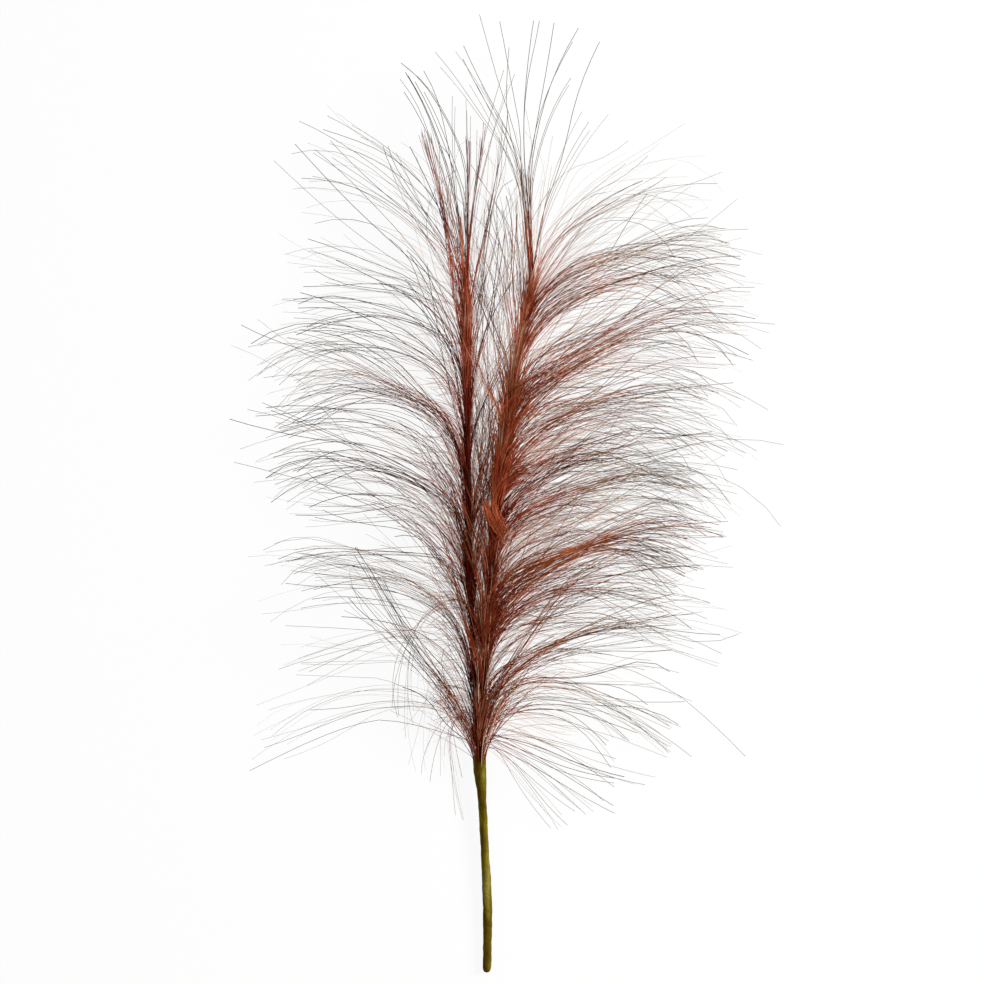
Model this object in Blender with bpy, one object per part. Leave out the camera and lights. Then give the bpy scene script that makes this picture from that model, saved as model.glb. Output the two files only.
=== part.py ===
"""Pampas grass pick: two plumes of long filament on wires, joined in one taped stem.

The pick lies on its side on a surface at z = 0, its stem end toward -Y and its
tips toward +Y.  Every piece is built in "pick coordinates" (u to the right,
v along the pick from the stem's end, z up), and an empty moves them all so that
the pick's box is centred over the origin.

Each tuft is a bundle of filament tied to its spike along a short strip.  It is
modelled as the solid that the bundle fills, from the tie out to the tips.
"""
import bpy
import bmesh
import math
import numpy as np
from mathutils import Vector

for ob in list(bpy.data.objects):
    bpy.data.objects.remove(ob, do_unlink=True)

# ---------------------------------------------------------------- dimensions
MM = 0.001
LENGTH = 610.0            # stem end to the highest tip
STEM_LENGTH = 139.0       # taped stem, stem end to the tape's mouth
STEM_RADIUS = 2.65        # taped stem near its lower end
STEM_WAIST = 2.40         # taped stem half way up
MOUTH_RADIUS = 4.10       # the tape's mouth, where it covers the first ties
TAPE_BORE = 2.05          # bore of the tape round the two wires
WIRE_RADIUS = 0.80        # 1.6 mm wire
WIRE_START = 5.0          # lower end of the wires, inside the tape's end
SPIKE_TOP = 456.0         # upper end of the wires
BINDING_START = 140.5
BIND_RADIUS_LEFT = 2.20
BIND_RADIUS_RIGHT = 2.55
GAP = 0.35                # clear gap between neighbours
TIE_GAP = 0.45            # from a binding to the tufts tied on it
TUFT_SIDES = 10           # sides of a tuft's section
TUFT_RINGS = 9            # sections along a tuft

# name, colour, roughness, metallic
COLOURS = {
    "olive_tape": ((0.165, 0.130, 0.020), 0.80, 0.0),
    "steel_wire": ((0.32, 0.31, 0.30), 0.40, 1.0),
    "dark_winding": ((0.085, 0.012, 0.008), 0.60, 0.0),
    "rust_winding": ((0.250, 0.040, 0.014), 0.60, 0.0),
    "burgundy_filament": ((0.130, 0.045, 0.030), 0.55, 0.0),
    "rust_filament": ((0.260, 0.075, 0.030), 0.55, 0.0),
}


def material(name):
    mat = bpy.data.materials.get(name)
    if mat is None:
        colour, rough, metal = COLOURS[name]
        mat = bpy.data.materials.new(name)
        mat.use_nodes = True
        bsdf = mat.node_tree.nodes["Principled BSDF"]
        bsdf.inputs["Base Color"].default_value = (*colour, 1.0)
        bsdf.inputs["Roughness"].default_value = rough
        bsdf.inputs["Metallic"].default_value = metal
        mat.diffuse_color = (*colour, 1.0)
    return mat


PICK = bpy.data.objects.new("pick_origin", None)
bpy.context.scene.collection.objects.link(PICK)


def smooth(x):
    x = min(1.0, max(0.0, x))
    return x * x * (3.0 - 2.0 * x)


# ------------------------------------------------------------- centre lines
def stem_u(v):
    """Sideways bow of the taped stem."""
    return 0.0 if v < 40.0 else -5.0 * ((v - 40.0) / 102.0) ** 1.15


def rise(v):
    """Height of the pick's middle line over the surface."""
    return STEM_RADIUS + 21.5 * smooth(v / 456.0)


def spread(v):
    """Half the height between the two wires, one over the other in the tape."""
    return 0.98 + 1.25 * smooth((v - 115.0) / 25.0)


def left_line(v):
    if v < STEM_LENGTH:
        u = stem_u(v)
    else:
        d = v - STEM_LENGTH
        u = stem_u(STEM_LENGTH) - 8.4 * (1.0 - math.exp(-d / 110.0))
    return Vector((u, v, rise(v) - spread(v)))


def right_line(v):
    if v < STEM_LENGTH:
        u = stem_u(v)
    else:
        d = v - STEM_LENGTH
        u = stem_u(STEM_LENGTH) + 1.3 * smooth(d / 30.0) + 0.0178 * d + 0.000291 * d * d
    return Vector((u, v, rise(v) + spread(v)))


def tangent(line, v):
    return (line(v + 0.5) - line(v - 0.5)).normalized()


# ------------------------------------------------------------ mesh building
def finish(bm, name, mat, origin):
    """Turn a bmesh in pick millimetres into an object placed at its origin."""
    bmesh.ops.recalc_face_normals(bm, faces=bm.faces)
    for vert in bm.verts:
        vert.co = (vert.co - origin) * MM
    mesh = bpy.data.meshes.new(name)
    bm.to_mesh(mesh)
    bm.free()
    mesh.materials.append(material(mat))
    mesh.shade_smooth()
    mesh.set_sharp_from_angle(angle=math.radians(50))
    ob = bpy.data.objects.new(name, mesh)
    ob.location = origin * MM
    bpy.context.scene.collection.objects.link(ob)
    ob.parent = PICK
    return ob


def place(verts, points):
    for vert, p in zip(verts, points):
        vert.co = p


def extrude_ring(bm, verts, edges, points):
    """Extrude a closed ring of edges and set the new ring on the given points."""
    where = {tuple(v.co): i for i, v in enumerate(verts)}
    got = bmesh.ops.extrude_edge_only(bm, edges=edges)["geom"]
    new = [None] * len(verts)
    for g in got:
        if isinstance(g, bmesh.types.BMVert):
            new[where[tuple(g.co)]] = g
    ring = set(new)
    new_edges = [g for g in got if isinstance(g, bmesh.types.BMEdge)
                 and g.verts[0] in ring and g.verts[1] in ring]
    place(new, points)
    return new, new_edges


def first_ring(bm, points):
    made = bmesh.ops.create_circle(bm, cap_ends=False, radius=1.0, segments=len(points))
    verts = made["verts"]
    edges = list({e for v in verts for e in v.link_edges})
    # walk round the ring so that its vertices are in order
    order, last = [verts[0]], None
    while len(order) < len(verts):
        for e in order[-1].link_edges:
            other = e.other_vert(order[-1])
            if other is not last:
                last = order[-1]
                order.append(other)
                break
    place(order, points)
    return order, edges


def loft(name, rings, mat, origin):
    """A closed solid through a list of rings of points, capped at both ends."""
    bm = bmesh.new()
    verts, edges = first_ring(bm, rings[0])
    bmesh.ops.edgeloop_fill(bm, edges=edges)
    for points in rings[1:]:
        verts, edges = extrude_ring(bm, verts, edges, points)
    bmesh.ops.edgeloop_fill(bm, edges=edges)
    return finish(bm, name, mat, origin)


def pipe(name, outer, inner, mat, origin):
    """A sleeve: out along the outer rings, back along the inner ones.

    With open ends the last inner ring is bridged to the first outer one; an
    inner wall that stops short leaves the outer one closed by its own cap.
    """
    bm = bmesh.new()
    start, start_edges = first_ring(bm, outer[0])
    verts, edges = start, start_edges
    for points in outer[1:] + inner:
        verts, edges = extrude_ring(bm, verts, edges, points)
    return bm, (start, start_edges), (verts, edges)


def circle(centre, axis, radius, sides, squash=1.0):
    side = axis.cross(Vector((0, 0, 1))).normalized()
    up = side.cross(axis).normalized()
    return [centre + side * (radius * math.cos(a)) + up * (radius * squash * math.sin(a))
            for a in (2 * math.pi * k / sides for k in range(sides))]


# -------------------------------------------------------------------- wires
def wire(name, line):
    curve = bpy.data.curves.new(name, "CURVE")
    curve.dimensions = "3D"
    curve.bevel_depth = WIRE_RADIUS * MM
    curve.bevel_resolution = 2
    curve.use_fill_caps = True
    stations = np.linspace(WIRE_START, SPIKE_TOP, 30)
    origin = line(WIRE_START)
    spline = curve.splines.new("POLY")
    spline.points.add(len(stations) - 1)
    for point, v in zip(spline.points, stations):
        point.co = (*((line(float(v)) - origin) * MM), 1.0)
    curve.materials.append(material("steel_wire"))
    ob = bpy.data.objects.new(name, curve)
    ob.location = origin * MM
    bpy.context.scene.collection.objects.link(ob)
    ob.parent = PICK


wire("left_spike_wire", left_line)
wire("right_spike_wire", right_line)


# ---------------------------------------------------------------- stem tape
def stem_centre(v):
    return Vector((stem_u(v), v, rise(v)))


STEM_PROFILE = [  # station, outer radius
    (0.0, 0.9), (0.5, 1.75), (1.6, 2.40), (3.2, STEM_RADIUS), (30.0, 2.65),
    (60.0, 2.60), (72.0, STEM_WAIST), (110.0, STEM_WAIST), (117.0, 2.80),
    (123.0, 3.45), (130.0, 4.05), (STEM_LENGTH, MOUTH_RADIUS),
]
BORE_PROFILE = [(STEM_LENGTH, 3.45), (130.0, 3.35), (122.0, 2.75), (114.0, TAPE_BORE),
                (72.0, TAPE_BORE), (40.0, TAPE_BORE), (4.2, TAPE_BORE)]


def stem_tape():
    sides = 16

    def ring(v, r):
        return circle(stem_centre(v), tangent(stem_centre, v), r, sides)

    outer = [ring(v, r) for v, r in STEM_PROFILE]
    inner = [ring(v, r) for v, r in BORE_PROFILE]
    bm, (_, first), (_, last) = pipe("stem_tape", outer, inner, "olive_tape", None)
    bmesh.ops.edgeloop_fill(bm, edges=first)
    bmesh.ops.edgeloop_fill(bm, edges=last)
    finish(bm, "stem_tape", "olive_tape", stem_centre(0.0))


stem_tape()


# ----------------------------------------------------------------- bindings
def binding(name, line, radius, mat):
    sides = 10
    bore = WIRE_RADIUS + 0.30
    stations = [BINDING_START, 148.0, 158.0, 172.0, 195.0, 225.0, 260.0, 300.0,
                340.0, 375.0, 405.0, 430.0, 448.0, SPIKE_TOP + 1.0]

    def size(v):
        lower = 1.9 + (radius - 1.9) * smooth((v - BINDING_START) / 30.0)
        return lower * (1.0 - 0.22 * smooth((v - 390.0) / 66.0))

    def ring(v, r):
        return circle(line(v), tangent(line, v), r, sides)

    outer = [ring(v, size(v)) for v in stations]
    inner = [ring(v, bore) for v in reversed(stations)]
    bm, (_, first), (_, last) = pipe(name, outer, inner, mat, None)
    bmesh.ops.bridge_loops(bm, edges=first + last)
    finish(bm, name, mat, line(BINDING_START))


binding("left_spike_binding", left_line, BIND_RADIUS_LEFT, "dark_winding")
binding("right_spike_binding", right_line, BIND_RADIUS_RIGHT, "rust_winding")


# -------------------------------------------------------------------- tufts
def table(q, knots):
    """Value at q of a design table of (q, value) pairs."""
    return float(np.interp(q, [k[0] for k in knots], [k[1] for k in knots]))


class Row:
    """A row of tufts tied one above the other down one side of a spike.

    side:    +1 to the right, -1 to the left
    root:    where along the spike a filament is tied
    launch:  its angle from the spike where it leaves the tie
    end:     its angle from the spike at the tip
    bend:    power of the bend; a higher one keeps it straight for longer
    length:  of the filament
    lift0/1: angle of the row's surface over the horizontal, at tie and at tip
    tip_z:   for a row that lies down, the height of its tips
    """

    def __init__(self, line, side, count, root, launch, end, bend, length,
                 lift0, lift1, tip_z=None, half=12.0, grow=0.22, stand=0.0):
        self.__dict__.update(locals())

    def path(self, q, samples):
        v0 = table(q, self.root)
        a0, a1 = math.radians(table(q, self.launch)), math.radians(table(q, self.end))
        power, length = table(q, self.bend), table(q, self.length)
        t_axis = tangent(self.line, v0)
        side = Vector((self.side, 0, 0))
        side = (side - t_axis * side.dot(t_axis)).normalized()
        up = Vector((0, 0, 1))
        up = (up - t_axis * up.dot(t_axis)).normalized()

        def radial(s):
            lift = math.radians(self.lift0 + (self.lift1 - self.lift0) * s)
            return side * math.cos(lift) + up * math.sin(lift)

        steps = 48
        p = self.line(v0) + radial(0.0) * self.stand
        z0, reach, points, radii = p.z, self.stand, [p.copy()], [self.stand]
        for k in range(steps):
            s = (k + 0.5) / steps
            angle = a0 + (a1 - a0) * s ** power
            d = t_axis * math.cos(angle) + radial(s) * math.sin(angle)
            p = p + d * (length / steps)
            reach += math.sin(angle) * length / steps
            points.append(p.copy())
            radii.append(reach)
        out = []
        for s in samples:
            i = s * steps
            j = min(steps - 1, int(i))
            f = i - j
            point = points[j].lerp(points[j + 1], f)
            r = radii[j] * (1 - f) + radii[j + 1] * f
            if self.tip_z is not None:
                drop = smooth(r / 95.0)
                point.z = z0 + (self.tip_z - z0) * drop
            out.append((point, r, radial(s)))
        return out

    def tuft(self, name, index, mat):
        samples = [k / (TUFT_RINGS - 1) for k in range(TUFT_RINGS)]
        edge = 0.045
        low = self.path(index + edge, samples)
        high = self.path(index + 1 - edge, samples)
        rings = []
        for s, (a, ra, na), (b, rb, nb) in zip(samples, low, high):
            centre, half_chord = (a + b) / 2, (b - a) / 2
            out = (na + nb).normalized()
            along = half_chord.normalized()
            across = along.cross(out).normalized() * (1 if self.side > 0 else -1)
            if across.z < 0 and self.tip_z is not None:
                across = -across
            r = (ra + rb) / 2
            thick = min(self.half, 0.85 + self.grow * (r - self.stand))
            thick *= 1.0 - 0.35 * smooth((s - 0.85) / 0.15)
            span = half_chord.length - GAP / 2
            span *= 1.0 - 0.30 * smooth((s - 0.88) / 0.12)
            ring = []
            for k in range(TUFT_SIDES):
                angle = 2 * math.pi * k / TUFT_SIDES
                p = centre + along * (span * math.cos(angle)) + across * (thick * math.sin(angle))
                p.z = max(p.z, 0.0)
                ring.append(p)
            rings.append(ring)
        loft(name, rings, mat, self.line(table(index + 0.5, self.root)))


LEFT_STAND = BIND_RADIUS_LEFT + TIE_GAP
RIGHT_STAND = BIND_RADIUS_RIGHT + TIE_GAP

ROWS = {
    "right_side": (Row(
        right_line, 1, 11,
        root=[(0, 146), (1, 160), (2, 178), (11, 446)],
        launch=[(0, 62), (1, 50), (2, 42), (4, 34), (9, 34), (10, 30), (11, 14)],
        end=[(0, 142), (1, 120), (2, 104), (4, 100), (9, 104), (10, 106), (11, 84)],
        bend=[(0, 0.9), (2, 0.9), (11, 0.95)],
        length=[(0, 92), (1, 138), (2, 150), (4, 163), (11, 170)],
        lift0=2, lift1=2, tip_z=9.0, half=10.5, stand=RIGHT_STAND), "rust_filament"),
    "left_side": (Row(
        left_line, -1, 10,
        root=[(0, 147), (1, 170), (10, 448)],
        launch=[(0, 22), (1, 16), (3, 12), (10, 9)],
        end=[(0, 122), (1, 112), (3, 106), (8, 104), (9, 98), (10, 66)],
        bend=[(0, 0.85), (2, 0.95), (10, 1.05)],
        length=[(0, 158), (2, 174), (10, 176)],
        lift0=-2, lift1=-2, tip_z=9.0, half=10.5, stand=LEFT_STAND), "burgundy_filament"),
    "right_front": (Row(
        right_line, 1, 5,
        root=[(0, 150), (5, 436)],
        launch=[(0, 28), (5, 16)],
        end=[(0, 92), (2, 84), (5, 62)],
        bend=[(0, 1.0), (5, 1.0)],
        length=[(0, 118), (1, 135), (5, 146)],
        lift0=66, lift1=30, half=10.0, grow=0.16, stand=RIGHT_STAND), "rust_filament"),
    "left_front": (Row(
        left_line, -1, 4,
        root=[(0, 184), (4, 436)],
        launch=[(0, 20), (4, 12)],
        end=[(0, 90), (2, 80), (4, 58)],
        bend=[(0, 1.0), (4, 1.0)],
        length=[(0, 130), (4, 150)],
        lift0=60, lift1=30, half=10.0, grow=0.16, stand=LEFT_STAND), "burgundy_filament"),
    "left_inner": (Row(
        left_line, 1, 3,
        root=[(0, 290), (3, 414)],
        launch=[(0, 8), (3, 7)],
        end=[(0, 20), (3, 14)],
        bend=[(0, 1.0), (3, 1.0)],
        length=[(0, 135), (3, 128)],
        lift0=4, lift1=4, half=6.0, grow=0.20, stand=LEFT_STAND), "burgundy_filament"),
    "right_inner": (Row(
        right_line, -1, 3,
        root=[(0, 268), (3, 430)],
        launch=[(0, 9), (3, 7)],
        end=[(0, 26), (3, 24)],
        bend=[(0, 1.0), (3, 1.0)],
        length=[(0, 140), (3, 150)],
        lift0=62, lift1=62, half=6.0, grow=0.20, stand=RIGHT_STAND), "rust_filament"),
}

for row_name, (row, mat) in ROWS.items():
    for index in range(row.count):
        row.tuft(f"{row_name}_tuft_{index + 1:02d}", index, mat)


def tip_tuft(name, line, mat, tip_v, tip_u, spread_u, bow, thick):
    """The last bundle, tied over the end of the wire and fanning on past it."""
    base_v = SPIKE_TOP + 1.8
    base = line(base_v)
    rings = []
    for k in range(TUFT_RINGS):
        s = k / (TUFT_RINGS - 1)
        v = base_v + (tip_v - base_v) * s
        u = base.x + (tip_u - base.x) * s + bow * math.sin(math.pi * s)
        z = base.z + 8.0 * s
        half_u = 2.0 + spread_u * s ** 1.25
        half_z = 1.8 + thick * s ** 1.1
        if s == 1.0:
            half_u, half_z = half_u * 0.75, half_z * 0.6
        rings.append([Vector((u + half_u * math.cos(a), v, max(0.0, z + half_z * math.sin(a))))
                      for a in (2 * math.pi * j / TUFT_SIDES for j in range(TUFT_SIDES))])
    loft(name, rings, mat, base)


tip_tuft("left_tip_tuft", left_line, "burgundy_filament",
         tip_v=588.0, tip_u=-31.0, spread_u=20.0, bow=2.0, thick=12.0)
tip_tuft("right_tip_tuft", right_line, "rust_filament",
         tip_v=LENGTH, tip_u=33.0, spread_u=29.0, bow=-3.0, thick=11.0)

# ------------------------------------------------- centre the pick over (0, 0)
bpy.context.view_layer.update()
corners = []
for ob in bpy.data.objects:
    if ob.type in {"MESH", "CURVE"}:
        corners += [ob.matrix_world @ Vector(c) for c in ob.bound_box]
low = [min(c[i] for c in corners) for i in range(3)]
high = [max(c[i] for c in corners) for i in range(3)]
PICK.location = (-(low[0] + high[0]) / 2, -(low[1] + high[1]) / 2, -low[2])
bpy.context.view_layer.update()
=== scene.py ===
"""Looks of the pampas grass pick: two plumes of fine filament on wires, joined in one taped stem.

Every tuft solid of the CAD model is replaced by the filaments that it stands for, each one a
closed tapered tube.  The filaments are grown by rule: each row of tufts has a table of how a
filament leaves its spike, turns over and droops, neighbours in a clump share most of their
deviation, and some clumps are drawn together into locks.  The bindings are replaced by wound
thread and the stem by overlapping turns of crepe tape.
"""

import math
import bmesh
import bpy
import numpy as np
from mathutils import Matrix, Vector

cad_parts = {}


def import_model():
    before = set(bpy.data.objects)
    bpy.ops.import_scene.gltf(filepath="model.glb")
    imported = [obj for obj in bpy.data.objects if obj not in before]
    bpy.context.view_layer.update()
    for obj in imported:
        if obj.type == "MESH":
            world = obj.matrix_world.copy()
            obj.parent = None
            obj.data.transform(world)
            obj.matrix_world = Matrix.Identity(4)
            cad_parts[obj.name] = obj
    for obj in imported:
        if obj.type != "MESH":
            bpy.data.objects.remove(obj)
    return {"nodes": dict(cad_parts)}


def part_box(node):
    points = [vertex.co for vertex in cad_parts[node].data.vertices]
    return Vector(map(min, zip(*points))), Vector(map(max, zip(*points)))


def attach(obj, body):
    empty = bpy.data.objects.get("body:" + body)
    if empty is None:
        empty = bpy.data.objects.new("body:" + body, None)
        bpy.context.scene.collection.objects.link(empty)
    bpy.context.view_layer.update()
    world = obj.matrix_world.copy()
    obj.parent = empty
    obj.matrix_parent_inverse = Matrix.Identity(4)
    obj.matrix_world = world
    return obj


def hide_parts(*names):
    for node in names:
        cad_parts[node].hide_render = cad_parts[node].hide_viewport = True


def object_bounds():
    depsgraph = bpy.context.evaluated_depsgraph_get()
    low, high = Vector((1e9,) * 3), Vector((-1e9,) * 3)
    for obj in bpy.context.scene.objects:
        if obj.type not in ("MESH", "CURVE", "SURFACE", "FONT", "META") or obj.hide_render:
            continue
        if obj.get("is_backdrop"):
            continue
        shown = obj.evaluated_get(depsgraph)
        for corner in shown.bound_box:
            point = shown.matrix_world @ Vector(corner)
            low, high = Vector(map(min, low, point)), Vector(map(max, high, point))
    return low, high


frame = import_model()
CAD_LOW, CAD_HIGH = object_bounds()
MM = 0.001

# ------------------------------------------------------------------ routes
# Pick coordinates in millimetres: u to the right, v along from the stem's end, z up.
STEM_RADIUS, STEM_WAIST, MOUTH_RADIUS = 2.65, 2.40, 4.10
STEM_LENGTH, SPIKE_TOP = 139.0, 456.0
LEFT, RIGHT = "left", "right"


def smooth(x):
    x = np.clip(x, 0.0, 1.0)
    return x * x * (3.0 - 2.0 * x)


def ramp(s, a, b):
    return np.clip((s - a) / np.maximum(b - a, 1e-4), 0.0, 1.0)


def stem_u(v):
    v = np.asarray(v, float)
    return np.where(v < 40.0, 0.0, -5.0 * (np.clip(v - 40.0, 0, None) / 102.0) ** 1.15)


def rise(v):
    return STEM_RADIUS + 21.5 * smooth(np.asarray(v, float) / 456.0)


def spread(v):
    return 0.98 + 1.25 * smooth((np.asarray(v, float) - 115.0) / 25.0)


def spike(which, v):
    """Centre line of a spike's wire."""
    v = np.asarray(v, float)
    d = np.clip(v - STEM_LENGTH, 0, None)
    base = stem_u(np.minimum(v, STEM_LENGTH))
    if which == LEFT:
        u, z = base - 8.4 * (1 - np.exp(-d / 110.0)), rise(v) - spread(v)
    else:
        u, z = base + 1.3 * smooth(d / 30.0) + 0.0178 * d + 0.000291 * d * d, rise(v) + spread(v)
    return np.stack([u, v, z], -1)


def tangent(which, v):
    t = spike(which, v + 0.5) - spike(which, v - 0.5)
    return t / np.linalg.norm(t, axis=-1, keepdims=True)


# --------------------------------------------------------------- filaments
SEGMENTS = 13      # along a filament
STEPS = 52         # of the walk that lays it out
FLOOR = 0.35       # lowest centre of a filament, mm

# What a filament's table holds.  Angles are degrees from the spike's direction: it leaves at
# "launch", keeps to that for "hold" of its length, has turned to "turn" by "turn_at", to
# "plateau" by "plateau_at" and to "end" at its tip.  lift0 and lift1 are how far round the
# spike towards the top it leaves and ends.  With a tip_z it settles to that height.
KEYS = ("v0", "launch", "hold", "turn", "turn_at", "plateau", "plateau_at", "end",
        "length", "lift0", "lift1", "tip_z", "stand")

JITTER = dict(launch=5.0, turn=12.5, plateau=15.0, end=22.0, length=0.10, lift0=26.0,
              lift1=14.0, tip_z=7.0, hold=0.05, turn_at=0.07, plateau_at=0.09, stand=0.5)


def walk(which, side, p, rng, wave=2.2):
    """Paths of n filaments, (n, SEGMENTS+1, 3), from a dict of n numbers for each key."""
    n = len(p["v0"])
    T = tangent(which, p["v0"])
    S = np.zeros((n, 3)); S[:, 0] = side
    S -= T * (S * T).sum(1, keepdims=True)
    S /= np.linalg.norm(S, axis=1, keepdims=True)
    U = np.zeros((n, 3)); U[:, 2] = 1
    U -= T * (U * T).sum(1, keepdims=True)
    U /= np.linalg.norm(U, axis=1, keepdims=True)
    s = (np.arange(STEPS) + 0.5)[None, :] / STEPS
    c = lambda key: p[key][:, None]
    angle = (c("launch") + (c("turn") - c("launch")) * ramp(s, c("hold"), c("turn_at"))
             + (c("plateau") - c("turn")) * ramp(s, c("turn_at"), c("plateau_at"))
             + (c("end") - c("plateau")) * ramp(s, c("plateau_at"), 1.0))
    if "straight" in p:
        angle = angle + c("straight") * (angle.mean(1, keepdims=True) - angle)
    turns, phase = rng.uniform(0.6, 1.3, (n, 1)), rng.uniform(0, 2 * np.pi, (n, 1))
    angle = angle + rng.normal(0, wave, (n, 1)) * np.sin(2 * np.pi * turns * s + phase) * smooth(s / 0.25)
    angle = np.radians(angle)
    lift = np.radians(c("lift0") + (c("lift1") - c("lift0")) * smooth(s / 0.6))
    radial = S[:, None] * np.cos(lift)[..., None] + U[:, None] * np.sin(lift)[..., None]
    d = T[:, None] * np.cos(angle)[..., None] + radial * np.sin(angle)[..., None]
    step = (p["length"] / STEPS)[:, None]
    l0 = np.radians(p["lift0"])[:, None]
    start = spike(which, p["v0"]) + (S * np.cos(l0) + U * np.sin(l0)) * p["stand"][:, None]
    P = np.concatenate([start[:, None], start[:, None] + np.cumsum(d * step[..., None], 1)], 1)
    reach = np.concatenate([np.zeros((n, 1)), np.cumsum(np.abs(np.sin(angle)) * step, 1)], 1)
    lies = ~np.isnan(p["tip_z"])
    settled = P[..., 2] + (np.nan_to_num(p["tip_z"])[:, None] - P[..., 2]) * smooth(reach / 95.0)
    P[..., 2] = np.where(lies[:, None], settled, P[..., 2])
    keep = (np.linspace(0, 1, SEGMENTS + 1) ** 1.12 * STEPS).round().astype(int)
    return P[:, keep]


def at(q, value):
    """Value at q of a constant or of a table of (q, value) pairs."""
    if not isinstance(value, (list, tuple)):
        return np.full(np.shape(q), float(value))
    return np.interp(q, [k[0] for k in value], [k[1] for k in value])


def sample(table, q, rng, scale=1.0, clump=7.0, own=0.62, jitter=None, strays=0.11, short=0.45):
    """Numbers for filaments at the places q along a row, and the clump each is in.  Filaments
    in a clump share part of their deviation; strays are straight and go their own way."""
    sizes = dict(JITTER)
    sizes.update(jitter or {})
    n = len(q)
    m = max(1, int(round(n / clump)))
    order = np.argsort(q)
    group = np.empty(n, int)
    group[order] = np.minimum((np.arange(n) + rng.integers(0, 3, n)) * m // max(n, 1), m - 1)
    stray = rng.uniform(0, 1, n) < strays
    p = {}
    for key in KEYS:
        base = at(q, table[key]) if table[key] is not None else np.full(n, np.nan)
        if key in sizes:
            dev = (rng.normal(0, 1, m)[group] * math.sqrt(max(0.0, 1 - own * own))
                   + rng.normal(0, 1, n) * own)
            dev = np.clip(dev, -2.2, 2.2) * sizes[key] * scale * np.where(stray, 2.0, 1.0)
            base = base * (1 + np.clip(dev, -.4, .10)) if key == "length" else base + dev
        p[key] = base
    middle = np.array([q[group == g].mean() if (group == g).any() else 0.0 for g in range(m)])[group]
    p["v0"] = at(middle + (q - middle) * 0.5, table["v0"]) + rng.normal(0, 1.2, n)
    p["length"] = p["length"] * (1 - short * rng.beta(1.0, 2.4, n))
    p["hold"] = np.clip(p["hold"], 0.02, 0.5)
    p["turn_at"] = np.maximum(p["turn_at"], p["hold"] + 0.08)
    p["plateau_at"] = np.clip(np.maximum(p["plateau_at"], p["turn_at"] + 0.08), 0, 0.78)
    p["tip_z"] = np.clip(p["tip_z"], 0.5, 26)
    p["stand"] = np.clip(p["stand"], 0.3, 4.0)
    p["straight"] = np.where(stray, rng.uniform(0.4, 0.9, n), np.abs(rng.normal(0, 0.10 * scale, n)))
    return p, np.where(stray, -1, group)


def bunch(P, group, rng, most=0.85, least=0.0):
    """Draws the filaments of each clump together somewhere between root and tip."""
    t = np.linspace(0, 1, SEGMENTS + 1)
    for g in np.unique(group[group >= 0]):
        k = np.flatnonzero(group == g)
        if len(k) < 2:
            continue
        pull, when, rest = rng.uniform(least, most), rng.uniform(0.25, 0.6), rng.uniform(0.0, 0.6)
        w = pull * np.where(t < when, smooth(t / when), 1 - (1 - rest) * smooth((t - when) / (1 - when)))
        own = rng.uniform(0.5, 1.0, len(k))
        P[k] += (P[k].mean(0) - P[k]) * w[None, :, None] * own[:, None, None]
    return P


def Row(**k):
    return k


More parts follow.
